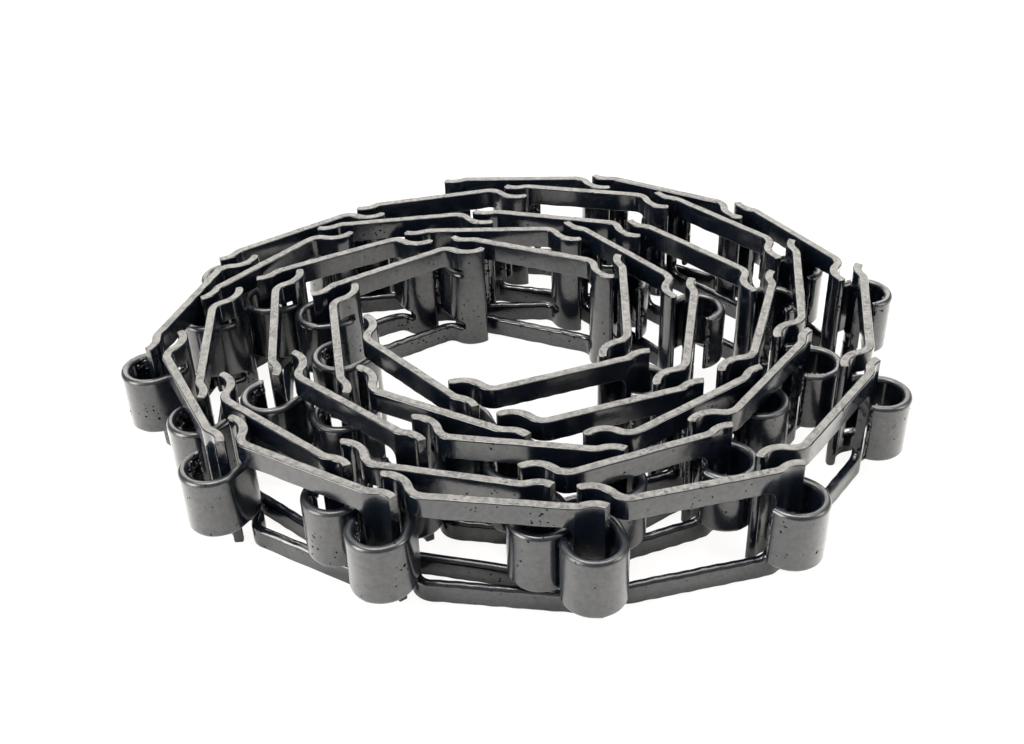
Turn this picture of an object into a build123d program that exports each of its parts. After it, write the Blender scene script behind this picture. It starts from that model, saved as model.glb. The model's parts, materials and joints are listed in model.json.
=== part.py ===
from build123d import *
import math
import os

# A steel detachable chain, wound up and standing on its side edges.
# Every link is one strip of sheet: an ear and a rolled hook at one end, two side bars round
# a window, and an arched end bar that sits in the hook of the next link.
# One link's frame: origin on its hook's hinge axis, +X along the link to the hinge of its end
# bar, +Y to the side that faces the middle of the coil, Z across the chain.

# Driving dimensions, in mm
PITCH = 58.6
LINK_WIDTH = 39.0
SHEET = 3.0
SIDE_BAR = 7.0  # height of each side bar
BAR_Y = 1.5  # the side bars' middle plane, beside the hinge axes

EAR_RADIUS = 7.5  # radii are to the middle of the sheet
EAR_Y = 2.2  # centre of the ear's arc
EAR_TIP = 15.0  # how far the ear reaches beyond its crest, in degrees
EAR_TO_SLIT = 50.0  # from the crest to where the tongue parts from the side bars
EAR_TO_BAR = 70.0  # from the crest to where the sheet turns back towards the side bars

HOOK_RADIUS = 8.1
HOOK_Y = -2.5
HOOK_WALL_X = 10.7  # the hook's straight wall, which the ear and the hook's arc both meet
HOOK_WRAP = 205.0  # how far the tongue is rolled, from that wall to its tip
TONGUE_WIDTH = 20.5

CREST_X = PITCH + 3.6  # crest of the arched end bar
CREST_RISE = 1.8  # above the side bars
ARCH_RADIUS = 7.0
ARCH_FOOT_RADIUS = 4.5
ARCH_TIP = 25.0  # how far the arch reaches beyond its crest, in degrees
WINDOW_CORNER = 3.0

# How the chain is wound: the heading of the outermost link, and how far each hinge is bent
# from straight, from the outermost hinge to the innermost, in degrees; a row is one turn
FIRST_HEADING = 177
BENDS = [
    27.5, 29, 41.5, 27, 39, 22, 22.5, 31.5, 45, 37.5, 23, 25,
    35, 50.5, 28.5, 32, 35, 27, 44, 46, 42, 21.5,
    33, 60, 37, 45.5, 31.5, 42, 69, 29, 50.5,
    48.5, 60.5, 48, 52, 67, 55,
    69.5, 68.5, 67.5,
]


def bent_sheet(centre, radius, start, end, width):
    """A stretch of sheet rolled round centre, from one angle to another in degrees."""
    outer = CenterArc(centre, radius + SHEET / 2, start, end - start)
    inner = CenterArc(centre, radius - SHEET / 2, start, end - start)
    sides = [Line(outer @ 0, inner @ 0), Line(outer @ 1, inner @ 1)]
    return extrude(make_face([outer, inner] + sides), width / 2, both=True)


def flat_sheet(start, end, width):
    """A straight stretch of sheet from one point of its middle plane to another."""
    length = math.dist(start, end)
    heading = math.degrees(math.atan2(end[1] - start[1], end[0] - start[0]))
    middle = ((start[0] + end[0]) / 2, (start[1] + end[1]) / 2)
    return Pos(*middle) * Rot(0, 0, heading) * Box(length, SHEET, width)


def make_link():
    ear_centre = (HOOK_WALL_X - EAR_RADIUS, EAR_Y)
    hook_centre = (HOOK_WALL_X - HOOK_RADIUS, HOOK_Y)
    slit = 90 - EAR_TO_SLIT
    turn_back = 90 - EAR_TO_BAR

    # the sheet leaves the ear on a reverse bend that ends level with the side bars
    drop = ear_centre[1] + EAR_RADIUS * math.sin(math.radians(turn_back)) - BAR_Y
    bend_radius = drop / (1 - math.cos(math.radians(EAR_TO_BAR)))
    bend_x = ear_centre[0] + (EAR_RADIUS + bend_radius) * math.sin(math.radians(EAR_TO_BAR))
    bend_centre = (bend_x, BAR_Y + bend_radius)

    # the arch rises from the side bars on a small reverse bend at each link's far end
    foot = math.degrees(math.acos(1 - CREST_RISE / (ARCH_FOOT_RADIUS + ARCH_RADIUS)))
    foot_x = CREST_X - (ARCH_FOOT_RADIUS + ARCH_RADIUS) * math.sin(math.radians(foot))
    foot_centre = (foot_x, BAR_Y + ARCH_FOOT_RADIUS)
    arch_centre = (CREST_X, BAR_Y + CREST_RISE - ARCH_RADIUS)

    ear = bent_sheet(ear_centre, EAR_RADIUS, slit, 90 + EAR_TIP, LINK_WIDTH)

    sides = bent_sheet(ear_centre, EAR_RADIUS, turn_back, slit, LINK_WIDTH)
    sides += bent_sheet(bend_centre, bend_radius, 180 + turn_back, 270, LINK_WIDTH)
    sides += flat_sheet((bend_x, BAR_Y), (foot_x, BAR_Y), LINK_WIDTH)
    window_length = foot_x - ear_centre[0]
    window = Box(window_length, 4 * HOOK_RADIUS, LINK_WIDTH - 2 * SIDE_BAR)
    window = fillet(window.edges().filter_by(Axis.Y).group_by(Axis.X)[-1], WINDOW_CORNER)
    sides -= Pos(foot_x - window_length / 2, BAR_Y) * window

    end_bar = bent_sheet(foot_centre, ARCH_FOOT_RADIUS, 270, 270 + foot, LINK_WIDTH)
    end_bar += bent_sheet(arch_centre, ARCH_RADIUS, 90 - ARCH_TIP, 90 + foot, LINK_WIDTH)

    tongue = bent_sheet(ear_centre, EAR_RADIUS, 0, slit, TONGUE_WIDTH)
    tongue += flat_sheet((HOOK_WALL_X, HOOK_Y), (HOOK_WALL_X, EAR_Y), TONGUE_WIDTH)
    tongue += bent_sheet(hook_centre, HOOK_RADIUS, -HOOK_WRAP, 0, TONGUE_WIDTH)

    return ear + sides + end_bar + tongue


def coil_places():
    """Where each link's frame goes, from the outermost link to the innermost."""
    places = []
    heading = FIRST_HEADING
    end_bar = Vector(0, 0, LINK_WIDTH / 2)
    for bend in [0] + BENDS:
        heading -= bend
        hook = end_bar - Vector(PITCH, 0, 0).rotate(Axis.Z, heading)
        places.append(Location(hook, (0, 0, heading)))
        end_bar = hook
    return places


os.makedirs("parts", exist_ok=True)
link = make_link()
places = coil_places()
coil_box = Compound([place * link for place in places]).bounding_box()
to_middle = Pos(-coil_box.center().X, -coil_box.center().Y, 0)

for number, place in enumerate(places, start=1):
    seat = to_middle * place
    export_step(seat * link, f"parts/link_{number:02d}.step")
    hinge = seat.position
    print(f"link_{number:02d} hinge axis {hinge.X:.3f} {hinge.Y:.3f} heading {seat.orientation.Z:.1f}")
print("coil", coil_box.size)
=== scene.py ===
import bmesh
import bpy
import json
import math
import random
from mathutils import Matrix, Vector

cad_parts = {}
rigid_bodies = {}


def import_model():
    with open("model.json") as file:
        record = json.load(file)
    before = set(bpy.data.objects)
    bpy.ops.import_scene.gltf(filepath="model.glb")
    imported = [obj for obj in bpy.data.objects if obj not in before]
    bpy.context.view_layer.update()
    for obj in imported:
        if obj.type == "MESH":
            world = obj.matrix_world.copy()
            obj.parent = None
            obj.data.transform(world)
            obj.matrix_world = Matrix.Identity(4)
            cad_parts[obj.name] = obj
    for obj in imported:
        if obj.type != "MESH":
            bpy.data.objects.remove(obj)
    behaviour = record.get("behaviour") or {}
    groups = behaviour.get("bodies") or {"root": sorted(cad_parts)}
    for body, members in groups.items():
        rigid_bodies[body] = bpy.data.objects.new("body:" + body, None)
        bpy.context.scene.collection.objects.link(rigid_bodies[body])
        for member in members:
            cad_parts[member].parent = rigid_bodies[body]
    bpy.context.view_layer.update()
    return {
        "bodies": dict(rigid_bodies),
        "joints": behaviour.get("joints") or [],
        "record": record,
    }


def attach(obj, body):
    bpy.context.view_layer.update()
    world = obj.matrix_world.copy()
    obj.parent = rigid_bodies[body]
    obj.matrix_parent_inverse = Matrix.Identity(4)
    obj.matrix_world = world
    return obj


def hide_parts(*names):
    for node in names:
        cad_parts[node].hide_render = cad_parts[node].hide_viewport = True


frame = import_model()
print("frame loaded")


def srgb(code):
    parts = [int(code[i:i + 2], 16) / 255 for i in (1, 3, 5)]
    return [p / 12.92 if p <= 0.04045 else ((p + 0.055) / 1.055) ** 2.4 for p in parts] + [1.0]


def addNode(tree, kind, settings, links):
    node = tree.nodes.new(kind)
    for name, value in settings.items():
        setattr(node, name, value)
    for name, value in links.items():
        if isinstance(value, bpy.types.NodeSocket):
            tree.links.new(value, node.inputs[name])
        else:
            node.inputs[name].default_value = value
    return node


def startMaterial(name):
    material = bpy.data.materials.new(name)
    material.use_nodes = True
    material.node_tree.nodes.clear()
    return material, material.node_tree


patternShift = 40.0  # how far one link's pattern can lie from another's, so that no two links match


def shiftedPlace(tree):
    # object coordinates, and a number of the link's own for the noise's fourth axis
    place = addNode(tree, "ShaderNodeTexCoord", {}, {}).outputs["Object"]
    which = addNode(tree, "ShaderNodeObjectInfo", {}, {}).outputs["Random"]
    shift = addNode(tree, "ShaderNodeMath", {"operation": "MULTIPLY"}, {0: which, 1: patternShift})
    return place, shift.outputs[0]


# Black dip paint over pressed steel: hot-dipped bitumen lacquer, left to drip dry.
# It gives a deep blue-black gloss with a few burst pits; orange peel and slow sags bend its reflections.
# Sizes and depths are in metres. A spread is the stretch of a noise's values over which a change happens.
dipPaint = {
    "colour": "#060a11",
    "ior": 1.55,
    "gloss": 0.12,  # roughness where the film is even
    "dull": 0.28,  # and where it sags
    "rimGloss": 0.26,  # the thicker bead on the hook's rims dries duller
    "rimDull": 0.4,
    "peelSize": 0.0016,
    "peelDepth": 0.000024,
    "sagSize": 0.010,
    "sagDepth": 0.00016,
    "sagSpread": (0.35, 0.75),
    "filmSize": 0.0016,
    "filmSpread": (0.36, 0.62),
    "shine": (0.43, 0.55),  # specular level from the thinnest to the thickest film
    "pitSpacing": 0.0014,
    "pitDepth": 0.00015,
    "pitWidth": (0.06, 0.3),  # share of the spacing, from the clearest to the most pitted patches
    "pitRagged": 0.9,
    "pitRoughness": 0.7,  # how much rougher the paint is inside a pit
    "pitShine": 0.05,  # its specular level there
    "pitPatch": 0.011,
    "patchSpread": (0.46, 0.68),
}


def makeDipPaint(name, gloss, dull):
    d = dipPaint
    material, tree = startMaterial(name)
    place, shift = shiftedPlace(tree)
    peel = addNode(tree, "ShaderNodeTexNoise", {"noise_dimensions": "4D"},
                   {"Vector": place, "W": shift, "Scale": 1 / d["peelSize"], "Detail": 1.0})
    sag = addNode(tree, "ShaderNodeTexNoise", {"noise_dimensions": "4D"},
                  {"Vector": place, "W": shift, "Scale": 1 / d["sagSize"], "Detail": 2.0, "Roughness": 0.4})
    cells = addNode(tree, "ShaderNodeTexVoronoi", {"voronoi_dimensions": "4D"},
                    {"Vector": place, "W": shift, "Scale": 1 / d["pitSpacing"]})
    patches = addNode(tree, "ShaderNodeTexNoise", {"noise_dimensions": "4D"},
                      {"Vector": place, "W": shift, "Scale": 1 / d["pitPatch"], "Detail": 1.0})
    film = addNode(tree, "ShaderNodeTexNoise", {"noise_dimensions": "4D"},
                   {"Vector": place, "W": shift, "Scale": 1 / d["filmSize"],
                    "Detail": 3.0, "Roughness": 0.65})
    ragged = addNode(tree, "ShaderNodeMath", {"operation": "MULTIPLY_ADD"},
                     {0: film.outputs["Fac"], 1: d["pitRagged"], 2: cells.outputs["Distance"]})
    pitSize = addNode(tree, "ShaderNodeMapRange", {},
                      {"Value": patches.outputs["Fac"],
                       "From Min": d["patchSpread"][0], "From Max": d["patchSpread"][1],
                       "To Min": d["pitWidth"][0] + d["pitRagged"] / 2,
                       "To Max": d["pitWidth"][1] + d["pitRagged"] / 2})
    inPit = addNode(tree, "ShaderNodeMath", {"operation": "LESS_THAN"},
                    {0: ragged.outputs[0], 1: pitSize.outputs["Result"]})
    peelHeight = addNode(tree, "ShaderNodeMath", {"operation": "MULTIPLY"},
                         {0: peel.outputs["Fac"], 1: d["peelDepth"]})
    withSag = addNode(tree, "ShaderNodeMath", {"operation": "MULTIPLY_ADD"},
                      {0: sag.outputs["Fac"], 1: d["sagDepth"], 2: peelHeight.outputs[0]})
    height = addNode(tree, "ShaderNodeMath", {"operation": "MULTIPLY_ADD"},
                     {0: inPit.outputs[0], 1: -d["pitDepth"], 2: withSag.outputs[0]})
    bump = addNode(tree, "ShaderNodeBump", {},
                   {"Height": height.outputs[0], "Distance": 1.0, "Strength": 1.0})
    gloss = addNode(tree, "ShaderNodeMapRange", {},
                    {"Value": sag.outputs["Fac"],
                     "From Min": d["sagSpread"][0], "From Max": d["sagSpread"][1],
                     "To Min": gloss, "To Max": dull})
    roughness = addNode(tree, "ShaderNodeMath", {"operation": "MULTIPLY_ADD", "use_clamp": True},
                        {0: inPit.outputs[0], 1: d["pitRoughness"], 2: gloss.outputs["Result"]})
    shine = addNode(tree, "ShaderNodeMapRange", {},
                    {"Value": film.outputs["Fac"],
                     "From Min": d["filmSpread"][0], "From Max": d["filmSpread"][1],
                     "To Min": d["shine"][0], "To Max": d["shine"][1]})
    sheen = addNode(tree, "ShaderNodeMapRange", {},
                    {"Value": inPit.outputs[0], "To Min": shine.outputs["Result"], "To Max": d["pitShine"]})
    shader = addNode(tree, "ShaderNodeBsdfPrincipled", {},
                     {"Base Color": srgb(d["colour"]), "Roughness": roughness.outputs[0],
                      "IOR": d["ior"], "Specular IOR Level": sheen.outputs["Result"],
                      "Normal": bump.outputs["Normal"]})
    addNode(tree, "ShaderNodeOutputMaterial", {}, {"Surface": shader.outputs["BSDF"]})
    return material


# Sheared edges of steel sheet under a thin coat: the shear's torn grain shows through the paint.
# It gives the upper rims a matt grey, grained and pitted, while lower down the coat is thick and black. The
# grey is also painted light from above: it is palest at the top of the links and fades over the top few
# millimetres of their tip faces.
# The real grain is a few tenths of a millimetre, too fine to show, so it is drawn coarser.
# Sizes and depths are in metres.
edgeCoat = {
    # pale and grey are the grain's colours; how light they come out at the top of the links is partly painted
    # light from above
    "pale": "#504f4c",
    "grey": "#222223",
    "dark": "#0d0e11",
    "coatAndLightStart": 0.0335,  # below this height the coat is thick and black, above the next it has run off; between them the edge turns pale, partly painted light from above
    "coatAndLightEnd": 0.0388,
    "ior": 1.5,
    "roughness": 0.42,
    "coatRoughness": 0.06,  # how much rougher the thick coat is here than on the faces
    "grainSize": 0.0016,
    "grainDepth": 0.00025,
    "grainSpread": (0.38, 0.6),
    "coatSize": 0.0034,
    "coatDepth": 0.0006,
    "pitSpacing": 0.0012,
    "pitWidth": (0.14, 0.5),
    "pitPatch": 0.005,
    "patchSpread": (0.38, 0.6),
}


def makeEdgePaint():
    d = edgeCoat
    material, tree = startMaterial("shearedEdge")
    place, shift = shiftedPlace(tree)
    grain = addNode(tree, "ShaderNodeTexNoise", {"noise_dimensions": "4D"},
                    {"Vector": place, "W": shift, "Scale": 1 / d["grainSize"],
                     "Detail": 4.0, "Roughness": 0.7})
    colour = addNode(tree, "ShaderNodeValToRGB", {}, {"Fac": grain.outputs["Fac"]})
    stops = colour.color_ramp.elements
    for stop, position, shade in zip(stops, d["grainSpread"], ("grey", "pale")):
        stop.position, stop.color = position, srgb(d[shade])
    cells = addNode(tree, "ShaderNodeTexVoronoi", {"voronoi_dimensions": "4D"},
                    {"Vector": place, "W": shift, "Scale": 1 / d["pitSpacing"]})
    patches = addNode(tree, "ShaderNodeTexNoise", {"noise_dimensions": "4D"},
                      {"Vector": place, "W": shift, "Scale": 1 / d["pitPatch"], "Detail": 1.0})
    pitSize = addNode(tree, "ShaderNodeMapRange", {},
                      {"Value": patches.outputs["Fac"],
                       "From Min": d["patchSpread"][0], "From Max": d["patchSpread"][1],
                       "To Min": d["pitWidth"][0], "To Max": d["pitWidth"][1]})
    inPit = addNode(tree, "ShaderNodeMath", {"operation": "LESS_THAN"},
                    {0: cells.outputs["Distance"], 1: pitSize.outputs["Result"]})
    pitted = addNode(tree, "ShaderNodeMix", {"data_type": "RGBA"},
                     {"Factor": inPit.outputs[0], 6: colour.outputs["Color"], 7: srgb(d["dark"])})
    level = addNode(tree, "ShaderNodeSeparateXYZ", {}, {"Vector": place}).outputs["Z"]
    # Painted light from above: this mask turns the sheared edges from the black coat to the pale grain
    # towards the top of the links, and also moves roughness and bumps from coat to grain
    bareAndPaintedLight = addNode(tree, "ShaderNodeMapRange", {"interpolation_type": "SMOOTHSTEP"},
                   {"Value": level, "From Min": d["coatAndLightStart"], "From Max": d["coatAndLightEnd"]}).outputs["Result"]
    waves = addNode(tree, "ShaderNodeTexNoise", {"noise_dimensions": "4D"},
                    {"Vector": place, "W": shift, "Scale": 1 / d["coatSize"], "Detail": 1.0})
    grainHeight = addNode(tree, "ShaderNodeMath", {"operation": "MULTIPLY"},
                          {0: grain.outputs["Fac"], 1: d["grainDepth"]})
    coatHeight = addNode(tree, "ShaderNodeMath", {"operation": "MULTIPLY"},
                         {0: waves.outputs["Fac"], 1: d["coatDepth"]})
    height = addNode(tree, "ShaderNodeMix", {"data_type": "FLOAT"},
                     {0: bareAndPaintedLight, 2: coatHeight.outputs[0], 3: grainHeight.outputs[0]})
    bump = addNode(tree, "ShaderNodeBump", {},
                   {"Height": height.outputs[0], "Distance": 1.0, "Strength": 1.0})
    # the edge's colour: black coat lower down, pale grain at the top, where the paleness is partly painted
    # light from above
    edgeColourWithPaintedLight = addNode(tree, "ShaderNodeMix", {"data_type": "RGBA"},
                     {"Factor": bareAndPaintedLight, 6: srgb(dipPaint["colour"]), 7: pitted.outputs[2]})
    roughness = addNode(tree, "ShaderNodeMapRange", {},
                        {"Value": bareAndPaintedLight,
                         "To Min": dipPaint["gloss"] + d["coatRoughness"], "To Max": d["roughness"]})
    shader = addNode(tree, "ShaderNodeBsdfPrincipled", {},
                     {"Base Color": edgeColourWithPaintedLight.outputs[2], "Roughness": roughness.outputs["Result"],
                      "IOR": d["ior"], "Normal": bump.outputs["Normal"]})
    addNode(tree, "ShaderNodeOutputMaterial", {}, {"Surface": shader.outputs["BSDF"]})
    return material


# Pooled dip paint: the last of the bitumen lacquer gathers at the tip of each hook and dries there in lumps.
# It gives the tips a wet, broken sparkle.
pooledPaint = {
    "lumpSize": 0.0022,  # metres
    "lumpDepth": 0.0006,
    "roughness": 0.06,
}


def makePooledPaint():
    d = pooledPaint
    material, tree = startMaterial("pooledPaint")
    place, shift = shiftedPlace(tree)
    lumps = addNode(tree, "ShaderNodeTexNoise", {"noise_dimensions": "4D"},
                    {"Vector": place, "W": shift, "Scale": 1 / d["lumpSize"], "Detail": 1.0})
    bump = addNode(tree, "ShaderNodeBump", {},
                   {"Height": lumps.outputs["Fac"], "Distance": d["lumpDepth"], "Strength": 1.0})
    shader = addNode(tree, "ShaderNodeBsdfPrincipled", {},
                     {"Base Color": srgb(dipPaint["colour"]), "Roughness": d["roughness"],
                      "IOR": dipPaint["ior"], "Normal": bump.outputs["Normal"]})
    addNode(tree, "ShaderNodeOutputMaterial", {}, {"Surface": shader.outputs["BSDF"]})
    return material


perMetre = 1000  # millimetres in a metre

# One link, in millimetres and degrees: origin on its hook's hinge axis, x towards its end bar's hinge,
# y towards the middle of the coil, z across the chain. Radii are those of the sheet's middle line.
link = {
    "pitch": 58.6,
    "width": 39.0,
    "sheet": 3.0,
    "sideBar": 7.0,
    "barY": 1.5,
    "earRadius": 7.5,
    "earY": 2.2,
    "earTip": 15,  # how far the ear's lip reaches past its top
    "slit": 50,  # where the slit sets the tongue free, past the ear's top
    "turnBack": 70,  # where the sheet turns back towards the side bars
    "hookRadius": 8.1,
    "hookY": -2.5,
    "wallX": 10.7,
    "wrap": 205,  # how far the hook's bend goes round
    "tongue": 20.5,
    "crest": 3.6,  # how far past its hinge the end bar's arch is highest
    "crestRise": 1.8,
    "archRadius": 7.0,
    "footRadius": 4.5,
    "archTip": 25,  # how far the arch reaches past its crest
    "mountY": 1.7,  # height of the end bar's mount over the hinge line
    "corner": 3.0,  # rounding of the window at the end bar
    "seed": 12,
    "ragged": 0.3,  # how uneven the dried paint leaves the lower edges
    "upperRagged": 0.4,  # share of that on the upper edges, where the paint has run off
    "rimRagged": 0.3,  # and on the hook's lower rim
    "rimStart": 3.0,  # how far before the hook's centre, along y, the rim's unevenness begins
    "waveTurn": (0.2, 1.3),  # radians a millimetre of the waves that make the edges uneven
    "wavePhase": (0, 6.3),
    "fade": 4.0,  # length over which the unevenness grows from nothing where two stretches meet
    "dripCounts": [0, 1, 2, 3],
    "dripX": (-5, 8),
    "dripLength": 0.3,
    "dripShare": (0.4, 1),  # of that length
    "dripWidth": 0.9,
    "pooled": 2.5,  # how far from the hook's tip the paint dries in lumps
    "chord": 0.3,  # longest straight stretch of a bend's middle line
    "fewestChords": 4,
    "step": 1.1,  # mesh spacing along the sheet
    "slitRows": [0.0, 0.4],  # closer rows beside the slit
    "footRows": [0.0, 0.15, 0.4, 0.8, 1.4, 2.1, 3.0, 4.0],  # and where the window's corner is rounded
    "neckRows": [0.0, 0.4, 1.0],  # and where the tongue leaves the ear
    "midLines": (-5, 0, 5),  # lines either side of the link's middle
    "endLine": 15,  # outermost of the end bar's lines across its middle, from the edge
    "rimColumns": 4,  # mesh columns that count as the hook's rim
    # distance from an edge and share of the thickness there: first for sheared edges, then for the rounder
    # ones, which are the hook's rims, the ear's tip and the window's edge of the lower side bar
    "sheared": [(0.0, 0.74), (0.16, 0.9), (0.42, 1.0)],
    "rolled": [(0.0, 0.22), (0.12, 0.44), (0.35, 0.68), (0.7, 0.87), (1.1, 0.97), (1.5, 1.0)],
}

# Material slots of a link; Solidify gives the cut edge of a face the slot after the face's own.
slots = {"bar": 0, "hook": 2, "rim": 3, "tip": 5}


def arcPath(centre, radius, start, end):
    count = max(link["fewestChords"], round(abs(math.radians(end - start)) * radius / link["chord"]))
    angles = [math.radians(start + (end - start) * i / count) for i in range(count + 1)]
    return [(centre[0] + radius * math.cos(a), centre[1] + radius * math.sin(a)) for a in angles]


def resample(path, first, last):
    # rows along the path, with closer ones at the given distances from its two ends
    lengths = [0.0]
    for a, b in zip(path[:-1], path[1:]):
        lengths.append(lengths[-1] + math.dist(a, b))
    whole = lengths[-1]
    span = whole - first[-1] - last[-1]
    inner = max(2, round(span / link["step"]))
    between = [first[-1] + span * i / inner for i in range(1, inner)]
    spots = first + between + [whole - d for d in reversed(last)]
    rows, at = [], 0
    for spot in spots:
        while at < len(path) - 2 and lengths[at + 1] < spot:
            at += 1
        share = (spot - lengths[at]) / (lengths[at + 1] - lengths[at])
        rows.append(tuple(p + (q - p) * share for p, q in zip(path[at], path[at + 1])))
    return rows


def linkPaths():
    # the middle line of the sheet, from the ear's tip to the end bar's tip, then the tongue
    k = link
    earCentre = (k["wallX"] - k["earRadius"], k["earY"])
    hookCentre = (k["wallX"] - k["hookRadius"], k["hookY"])
    slitAngle, backAngle = 90 - k["slit"], 90 - k["turnBack"]
    drop = k["earY"] + k["earRadius"] * math.sin(math.radians(backAngle)) - k["barY"]
    bend = drop / (1 - math.cos(math.radians(k["turnBack"])))
    bendX = earCentre[0] + (k["earRadius"] + bend) * math.sin(math.radians(k["turnBack"]))
    reach = k["footRadius"] + k["archRadius"]
    foot = math.degrees(math.acos(1 - k["crestRise"] / reach))
    crestX = k["pitch"] + k["crest"]
    footX = crestX - reach * math.sin(math.radians(foot))
    archCentre = (crestX, k["barY"] + k["crestRise"] - k["archRadius"])
    cut = [d for d, _ in k["sheared"]]
    tip = [d for d, _ in k["rolled"]]
    ear = arcPath(earCentre, k["earRadius"], 90 + k["earTip"], slitAngle)
    bars = (arcPath(earCentre, k["earRadius"], slitAngle, backAngle)[:-1]
            + arcPath((bendX, k["barY"] + bend), bend, 180 + backAngle, 270) + [(footX, k["barY"])])
    endBar = (arcPath((footX, k["barY"] + k["footRadius"]), k["footRadius"], 270, 270 + foot)[:-1]
              + arcPath(archCentre, k["archRadius"], 90 + foot, 90 - k["archTip"]))
    tongue = (arcPath(earCentre, k["earRadius"], slitAngle, 0) + [(k["wallX"], k["hookY"])]
              + arcPath(hookCentre, k["hookRadius"], 0, -k["wrap"])[1:])
    return {
        "ear": resample(ear, tip, [0.0]),
        "bars": resample(bars, k["slitRows"], k["footRows"]),
        "endBar": resample(endBar, cut, cut),
        "tongue": resample(tongue, k["neckRows"], tip),
    }


def makeLinkMesh(name, rng):
    # the sheet's middle surface: Solidify thickens it, less towards the edges, so that they come out round
    k = link
    width, bar = k["width"], k["sideBar"]
    low, high = (width - k["tongue"]) / 2, (width + k["tongue"]) / 2
    paths = linkPaths()
    slitAt, cornerX = paths["bars"][0], paths["bars"][-1][0] - k["corner"]
    middle = [width / 2 + d for d in k["midLines"]]
    # two waves for each of the lower outer, lower inner, upper inner and upper outer edge
    waves = [(rng.uniform(*k["waveTurn"]), rng.uniform(*k["wavePhase"])) for _ in range(8)]
    drips = [(rng.uniform(*k["dripX"]), rng.uniform(*k["dripShare"]) * k["dripLength"])
             for _ in range(rng.choice(k["dripCounts"]))]
    cut, rolled = k["sheared"], k["rolled"]

    def ragged(x, y, first, size=1.0):
        # from nothing to the full unevenness
        pair = waves[first:first + 2]
        return size * k["ragged"] * sum(1 + math.sin(f * (x + y) + p) for f, p in pair) / (2 * len(pair))

    def faded(x, y):
        # no raggedness where two stretches meet
        return min(1, math.dist((x, y), slitAt) / k["fade"], abs(paths["bars"][-1][0] - x) / k["fade"])

    def innerEdge(x):
        # the side bar's edge on the window, rounded into the end bar
        inside = min(max(x - cornerX, 0), k["corner"])
        return bar + k["corner"] - math.sqrt(max(k["corner"] ** 2 - inside ** 2, 0))

    def rising(start, profile):
        return [(start + d, share) for d, share in profile]

    def falling(end, profile):
        return [(end - d, share) for d, share in reversed(profile)]

    def outerLow(x, y):
        return rising(ragged(x, y, 0), cut)

    def outerHigh(x, y):
        return falling(width - ragged(x, y, 6, k["upperRagged"]), cut)

    def plain(*heights):
        return [(z, 1.0) for z in heights]

    def earLines(x, y):
        return (outerLow(x, y) + plain(bar / 2, *(bar - d for d, _ in reversed(rolled)))
                + plain(*(low + d for d, _ in rolled))
                + plain(*middle)
                + plain(*(high - d for d, _ in reversed(rolled)))
                + plain(*(width - bar + d for d, _ in cut), width - bar / 2) + outerHigh(x, y))

    def lowerBar(x, y):
        inner = innerEdge(x) + faded(x, y) * ragged(x, y, 2)
        return outerLow(x, y) + plain(bar / 2) + falling(inner, rolled)

    def upperBar(x, y):
        inner = width - innerEdge(x) - faded(x, y) * ragged(x, y, 4)
        return rising(inner, cut) + plain(width - bar / 2) + outerHigh(x, y)

    def endLines(x, y):
        inner = bar + k["corner"]
        return (outerLow(x, y) + plain(bar / 2) + falling(inner, rolled)[:-1]
                + plain(inner, k["endLine"], width / 2, width - k["endLine"], width - inner)
                + rising(width - inner, cut)[1:]
                + plain(width - bar / 2) + outerHigh(x, y))

    def tongueLines(x, y):
        onHook = y < k["hookY"]
        hang = sum(size * math.exp(-((x - at) / k["dripWidth"]) ** 2) for at, size in drips if onHook)
        uneven = ragged(x, y, 2) * k["rimRagged"] if y < k["hookY"] + k["rimStart"] else 0
        return rising(low - hang + uneven, rolled) + plain(*middle) + falling(high, rolled)

    mesh = bmesh.new()
    known, thickness = {}, {}

    def corner(x, y, z, share):
        key = (round(x, 2), round(y, 2), round(z, 2))  # points within a hundredth of a millimetre are one
        if key not in known:
            known[key] = mesh.verts.new((x / perMetre, y / perMetre, z / perMetre))
            thickness[known[key]] = 0.0
        # a point that two stretches share is inside the sheet for one of them, and keeps the fuller thickness
        thickness[known[key]] = max(thickness[known[key]], share)
        return known[key]

    def endShare(row, rows, starts, ends):
        near = starts[row:row + 1] + ends[rows - 1 - row:rows - row]
        return min([share for _, share in near], default=1.0)

    # stretch, its lines, the profiles of its first and last rows, and its faces' slot
    plan = [("ear", earLines, rolled, [], "bar"), ("bars", lowerBar, [], [], "bar"),
            ("bars", upperBar, [], [], "bar"), ("endBar", endLines, [], cut, "bar"),
            ("tongue", tongueLines, [], rolled, "hook")]
    for stretch, lines, starts, ends, slot in plan:
        path = paths[stretch]
        grid = []
        for row, (x, y) in enumerate(path):
            limit = endShare(row, len(path), starts, ends)
            grid.append([corner(x, y, z, min(share, limit)) for z, share in lines(x, y)])
        for row, (here, there) in enumerate(zip(grid[:-1], grid[1:])):
            lumpy = slot == "hook" and math.dist(path[row], path[-1]) < k["pooled"]
            for column, corners in enumerate(zip(here[:-1], here[1:], there[1:], there[:-1])):
                if len(set(corners)) == 4:
                    onRim = slot == "hook" and min(column, len(here) - 2 - column) < k["rimColumns"]
                    look = "tip" if lumpy else "rim" if onRim else slot
                    mesh.faces.new(corners).material_index = slots[look]
    bmesh.ops.recalc_face_normals(mesh, faces=mesh.faces)
    mesh.verts.index_update()
    shares = [thickness[v] for v in mesh.verts]
    data = bpy.data.meshes.new(name)
    mesh.to_mesh(data)
    mesh.free()
    for face in data.polygons:
        face.use_smooth = True
    return data, shares


# Drops of paint dried on the hook's tip, in millimetres.
drops = {
    "count": 15,
    "from": 1.0,  # how far from the tip they sit
    "to": 7.5,
    "size": (0.6, 1.2),
    "inward": (1.0, 1.5),  # from the sheet's middle line towards the hook's centre
    "below": (1.0, 4.5),  # from the hook's upper rim
    "uneven": 0.3,
    "subdivisions": 2,
}


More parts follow.
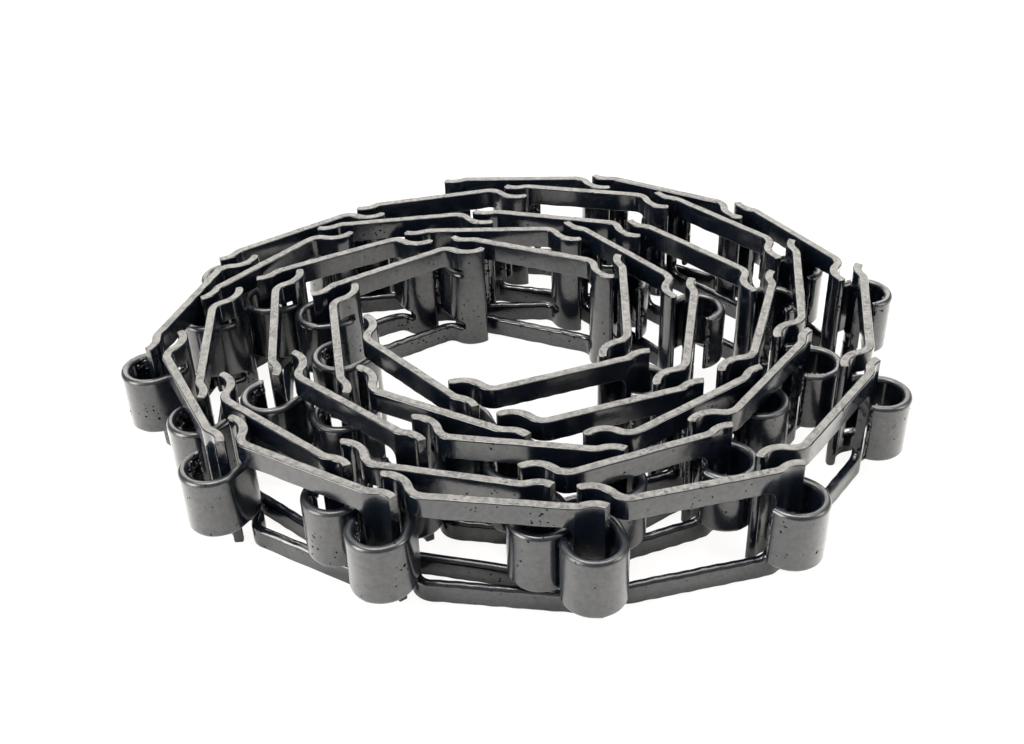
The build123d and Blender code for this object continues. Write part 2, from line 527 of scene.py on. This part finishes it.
def makeDropMesh(name, rng):
    tongue = linkPaths()["tongue"]
    hookX, hookY = link["wallX"] - link["hookRadius"], link["hookY"]
    # the spots near the tip, without those on the wall that faces it
    spots = [p for p in tongue
             if drops["from"] < math.dist(p, tongue[-1]) < drops["to"] and p[0] < link["wallX"] / 2]
    high = (link["width"] + link["tongue"]) / 2
    mesh = bmesh.new()
    for _ in range(drops["count"]):
        x, y = rng.choice(spots)
        size = rng.uniform(*drops["size"])
        inward = Vector((hookX - x, hookY - y)).normalized() * rng.uniform(*drops["inward"])
        centre = Vector((x + inward.x, y + inward.y, high - rng.uniform(*drops["below"])))
        ball = bmesh.ops.create_icosphere(mesh, subdivisions=drops["subdivisions"], radius=size)
        for vertex in ball["verts"]:
            vertex.co = (vertex.co * rng.uniform(1 - drops["uneven"], 1) + centre) / perMetre
    for face in mesh.faces:
        face.smooth = True
    data = bpy.data.meshes.new(name)
    mesh.to_mesh(data)
    mesh.free()
    return data


def linkPlaces():
    # each link's hook axis and heading, read from the hinges; the two ends also use the free mounts
    hinges = {j["name"]: j["pos_m"] for j in frame["joints"]}
    mounts = {m["name"]: m["pos_m"] for m in frame["record"]["mounts"]}
    axes = [hinges[f"hinge_{n:02d}"] for n in range(1, len(frame["bodies"]))]
    barX, barY = (link["pitch"] + link["crest"]) / perMetre, link["mountY"] / perMetre
    dx, dy = mounts["free_end_bar"][0] - axes[0][0], mounts["free_end_bar"][1] - axes[0][1]
    places = [(axes[0], math.atan2(dy, dx) - math.atan2(barY, barX))]
    for hook, bar in zip(axes[1:], axes[:-1]):
        places.append((hook, math.atan2(bar[1] - hook[1], bar[0] - hook[0])))
    hookX, hookY = (link["wallX"] - link["hookRadius"]) / perMetre, link["hookY"] / perMetre
    dx, dy = axes[-1][0] - mounts["free_hook"][0], axes[-1][1] - mounts["free_hook"][1]
    heading = math.atan2(dy, dx) - math.atan2(-hookY, link["pitch"] / perMetre - hookX)
    back = Vector((-link["pitch"] / perMetre, 0)) @ Matrix.Rotation(-heading, 2)
    places.append(((axes[-1][0] + back.x, axes[-1][1] + back.y), heading))
    return places


paint = makeDipPaint("blackDipPaint", dipPaint["gloss"], dipPaint["dull"])
rimPaint = makeDipPaint("rimBead", dipPaint["rimGloss"], dipPaint["rimDull"])
edgePaint = makeEdgePaint()
lumps = makePooledPaint()
slotPaints = (paint, edgePaint, paint, rimPaint, rimPaint, lumps, lumps)  # bars, cut edges, hook, rims, tip
rng = random.Random(link["seed"])
for number, (hook, heading) in enumerate(linkPlaces(), start=1):
    node = f"link_{number:02d}"
    data, shares = makeLinkMesh(f"linkMesh_{number:02d}", rng)
    piece = bpy.data.objects.new(f"paintedLink_{number:02d}", data)
    bpy.context.scene.collection.objects.link(piece)
    piece.matrix_world = Matrix.Translation((hook[0], hook[1], 0)) @ Matrix.Rotation(heading, 4, "Z")
    for material in slotPaints:
        data.materials.append(material)
    group = piece.vertex_groups.new(name="thickness")
    for index, share in enumerate(shares):
        group.add([index], share, "REPLACE")
    thickness = piece.modifiers.new("sheet", "SOLIDIFY")
    thickness.thickness = link["sheet"] / perMetre
    thickness.offset = 0
    thickness.use_even_offset = True
    thickness.vertex_group = "thickness"
    thickness.material_offset_rim = 1
    normals = piece.modifiers.new("normals", "WEIGHTED_NORMAL")
    normals.keep_sharp = True
    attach(piece, node)
    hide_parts(node)
    beads = bpy.data.objects.new(f"driedDrops_{number:02d}", makeDropMesh(f"dropMesh_{number:02d}", rng))
    bpy.context.scene.collection.objects.link(beads)
    beads.matrix_world = piece.matrix_world.copy()
    beads.data.materials.append(lumps)
    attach(beads, node)
print("links made")


# Floor, white surroundings and camera, in metres, degrees and, for the lens, millimetres.
studio = {
    "floorSize": 6.0,
    "floorDark": "#eeeeee",
    "floorPale": "#f3f3f3",
    "floorClear": "#fffefd",
    "floorRoughness": 0.8,
    "floorLift": 0.92,  # share of the floor's look that is plain white, so that shadows stay light
    "mottleSize": 1.0,
    "world": 0.7,
    "worldColour": (1, 0.98, 0.94, 1),
    "lampColour": (1.0, 0.97, 0.92),
    "lampAim": (0, 0, 0.02),
    "cameraX": -0.00245,
    "cameraY": -0.35971,
    "cameraZ": 0.26641,
    "tilt": 34.9,
    "roll": -1.887,
    "lens": 45.51,
    "sensor": 36,
}

# Painted infinity cove: a matt, almost white lacquer, so it is pale, with no gloss of its own.
floorPaint, floorTree = startMaterial("coveLacquer")
mottle = addNode(floorTree, "ShaderNodeTexNoise", {},
                 {"Scale": studio["floorSize"] / studio["mottleSize"], "Detail": 2.0})
tone = addNode(floorTree, "ShaderNodeMapRange", {},
               {"Value": mottle.outputs["Fac"],
                "To Min": srgb(studio["floorDark"])[0], "To Max": srgb(studio["floorPale"])[0]})
lacquer = addNode(floorTree, "ShaderNodeBsdfPrincipled", {},
                  {"Base Color": tone.outputs["Result"], "Roughness": studio["floorRoughness"]})
clear = addNode(floorTree, "ShaderNodeEmission", {}, {"Color": srgb(studio["floorClear"]), "Strength": 1.0})
viewed = addNode(floorTree, "ShaderNodeLightPath", {}, {})
lift = addNode(floorTree, "ShaderNodeMath", {"operation": "MULTIPLY"},
               {0: viewed.outputs["Is Camera Ray"], 1: studio["floorLift"]})
floorMix = addNode(floorTree, "ShaderNodeMixShader", {},
                   {0: lift.outputs[0], 1: lacquer.outputs["BSDF"], 2: clear.outputs[0]})
addNode(floorTree, "ShaderNodeOutputMaterial", {}, {"Surface": floorMix.outputs[0]})

bpy.ops.mesh.primitive_plane_add(size=studio["floorSize"], location=(0, 0, 0))
floor = bpy.context.object
floor.name = "floor"
floor.data.materials.append(floorPaint)

world = bpy.data.worlds.new("whiteStudio")
bpy.context.scene.world = world
world.use_nodes = True
worldTree = world.node_tree
worldTree.nodes.clear()
seen = addNode(worldTree, "ShaderNodeLightPath", {}, {})
white = addNode(worldTree, "ShaderNodeBackground", {}, {"Color": (1, 1, 1, 1), "Strength": 1.0})
soft = addNode(worldTree, "ShaderNodeBackground", {},
               {"Color": studio["worldColour"], "Strength": studio["world"]})
mixed = addNode(worldTree, "ShaderNodeMixShader", {},
                {0: seen.outputs["Is Camera Ray"], 1: soft.outputs[0], 2: white.outputs[0]})
addNode(worldTree, "ShaderNodeOutputWorld", {}, {"Surface": mixed.outputs[0]})

# Place and size in metres, power in watts.
softBoxes = {
    "overhead": {"place": (0.0, 0.15, 1.3), "size": (1.4, 1.0), "power": 38},
    "key": {"place": (-0.2, 0.0, 1.3), "size": (0.16, 0.16), "power": 6},
    "left": {"place": (-1.1, -0.6, 0.6), "size": (0.7, 0.9), "power": 33},
    "right": {"place": (1.2, -0.3, 0.7), "size": (0.4, 0.9), "power": 12},
    "back": {"place": (0.0, 1.3, 0.85), "size": (2.2, 0.7), "power": 30},
}
for name, box in softBoxes.items():
    light = bpy.data.lights.new(name, "AREA")
    light.shape = "RECTANGLE"
    light.size, light.size_y = box["size"]
    light.energy = box["power"]
    light.color = studio["lampColour"]
    lamp = bpy.data.objects.new(name, light)
    lamp.location = box["place"]
    lamp.rotation_euler = (Vector(studio["lampAim"]) - lamp.location).to_track_quat("-Z", "Y").to_euler()
    bpy.context.scene.collection.objects.link(lamp)

lens = bpy.data.cameras.new("camera")
lens.sensor_width = studio["sensor"]
lens.lens = studio["lens"]
camera = bpy.data.objects.new("camera", lens)
camera.matrix_world = (Matrix.Translation((studio["cameraX"], studio["cameraY"], studio["cameraZ"]))
                       @ Matrix.Rotation(math.radians(90 - studio["tilt"]), 4, "X")
                       @ Matrix.Rotation(math.radians(studio["roll"]), 4, "Z"))
bpy.context.scene.collection.objects.link(camera)
bpy.context.scene.camera = camera
bpy.context.scene.view_settings.view_transform = "Standard"
print("studio made")
